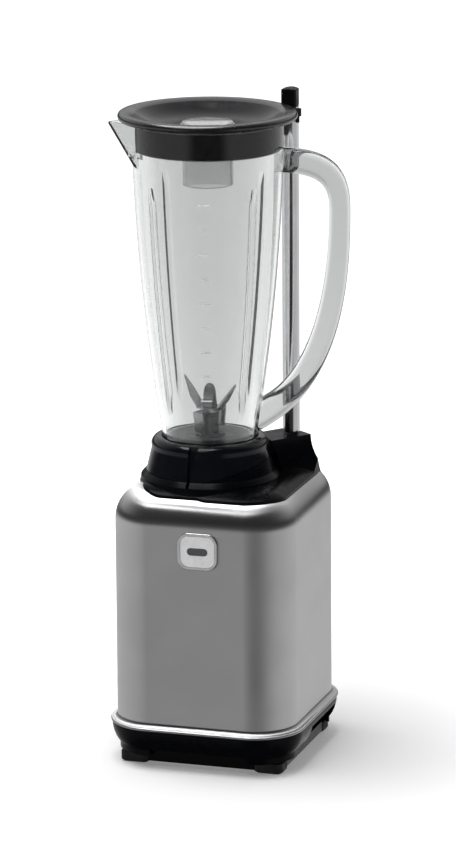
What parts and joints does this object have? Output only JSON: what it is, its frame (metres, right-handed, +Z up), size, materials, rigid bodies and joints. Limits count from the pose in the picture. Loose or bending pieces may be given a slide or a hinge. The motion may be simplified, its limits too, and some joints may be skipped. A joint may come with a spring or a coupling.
{
  "type": "countertop blender",
  "caption": "Countertop blender with a clear handled jar, dished lid, lid post, four-winged blades and a tall steel motor housing.",
  "frame": {"origin": "on the table, under the middle of the whole object's box", "axes": "+Z up, -Y to the front with the emblem plate, +X towards the handle"},
  "size_m": [0.1932, 0.1718, 0.535],
  "materials": {
    "rubber_black": "matt",
    "plate_steel": "satin",
    "fastener_steel": "bright",
    "black_plastic": "satin",
    "satin_steel": "satin",
    "badge_metal": "satin",
    "panel_plastic": "matt",
    "rocker_plastic": "gloss",
    "knob_plastic": "satin",
    "button_plastic": "satin",
    "post_steel": "polished",
    "cap_plastic": "satin",
    "sensor_plastic": "matt",
    "cast_aluminium": "cast",
    "bearing_steel": "ground",
    "lamination_steel": "matt",
    "copper": "enamelled",
    "brass": "bright",
    "carbon": "matt",
    "fan_plastic": "matt",
    "board_green": "satin",
    "board_parts": "satin",
    "coupling_black": "matt",
    "coupling_metal": "satin",
    "clear_plastic": "clear",
    "cap_clear": "clear",
    "gasket": "matt",
    "floor_grey": "satin",
    "stem_black": "satin",
    "blade_steel": "satin",
    "lid_plastic": "satin",
    "magnet": "nickel"
  },
  "bodies": {
    "base": {"feet": "rubber_black", "bottom_plate": "plate_steel", "plate_screws": "fastener_steel", "base_tray": "black_plastic", "housing": "satin_steel", "badge": "badge_metal", "control_panel": "panel_plastic", "rocker_frame": "panel_plastic", "potentiometer": "panel_plastic", "pulse_switch": "panel_plastic", "cord_gland": "rubber_black", "top_moulding": "black_plastic", "clamp_ring": "plate_steel", "ring_screws": "fastener_steel", "seat_pad": "rubber_black", "post": "post_steel", "post_cap": "cap_plastic", "lid_sensor": "sensor_plastic", "isolators": "rubber_black", "motor_plate": "plate_steel", "isolator_screws": "fastener_steel", "upper_bracket": "cast_aluminium", "lower_bracket": "cast_aluminium", "motor_bolts": "fastener_steel", "upper_bearing": "bearing_steel", "lower_bearing": "bearing_steel", "stator_core": "lamination_steel", "field_windings": "copper", "brush_holders": "brass", "carbon_brushes": "carbon", "fan_shroud": "fan_plastic", "control_board": "board_green", "board_parts": "board_parts"},
    "rotor": {"motor_shaft": "bearing_steel", "rotor_core": "lamination_steel", "rotor_windings": "copper", "commutator": "copper", "cooling_fan": "fan_plastic", "drive_coupling": "coupling_black"},
    "rocker": {"power_rocker": "rocker_plastic"},
    "knob": {"speed_knob": "knob_plastic"},
    "button": {"pulse_button": "button_plastic"},
    "jar": {"jar": "clear_plastic", "jar_collar": "black_plastic", "jar_gasket": "gasket", "jar_floor": "floor_grey", "bearing_housing": "stem_black", "blade_bearings": "bearing_steel", "blade_seal": "gasket"},
    "blades": {"blade_shaft": "bearing_steel", "lower_blade": "blade_steel", "upper_blade": "blade_steel", "acorn_nut": "blade_steel", "jar_coupling": "coupling_metal"},
    "lid": {"lid": "lid_plastic", "lid_seal": "gasket", "lid_magnet": "magnet"},
    "plug": {"filler_cap": "cap_clear"}
  },
  "joints": [
    {"name": "motor_spin", "type": "hinge", "parent": "base", "child": "rotor", "pos_m": [-0.01308, -0.0134, 0.15], "axis": [0, 0, 1], "continuous": true},
    {"name": "jar_lift", "type": "slide", "parent": "base", "child": "jar", "axis": [0, 0, 1], "range_m": [0, 0.12]},
    {"name": "blade_spin", "type": "hinge", "parent": "jar", "child": "blades", "pos_m": [-0.01308, -0.0134, 0.27], "axis": [0, 0, 1], "continuous": true},
    {"name": "lid_lift", "type": "slide", "parent": "jar", "child": "lid", "axis": [0, 0, 1], "range_m": [0, 0.08]},
    {"name": "plug_lift", "type": "slide", "parent": "lid", "child": "plug", "axis": [0, 0, 1], "range_m": [0, 0.08]},
    {"name": "speed_turn", "type": "hinge", "parent": "base", "child": "knob", "pos_m": [-0.08108, 0.019, 0.156], "axis": [-1, 0, 0], "range_deg": [-270, 0]},
    {"name": "power_switch", "type": "hinge", "parent": "base", "child": "rocker", "pos_m": [-0.07808, 0.019, 0.099], "axis": [0, 1, 0], "range_deg": [-20, 0]},
    {"name": "pulse_press", "type": "slide", "parent": "base", "child": "button", "axis": [1, 0, 0], "range_m": [0, 0.003], "stiffness_N_per_m": 400}
  ],
  "couplings": [
    {"joint": "blade_spin", "follows": "motor_spin", "ratio": 1}
  ]
}
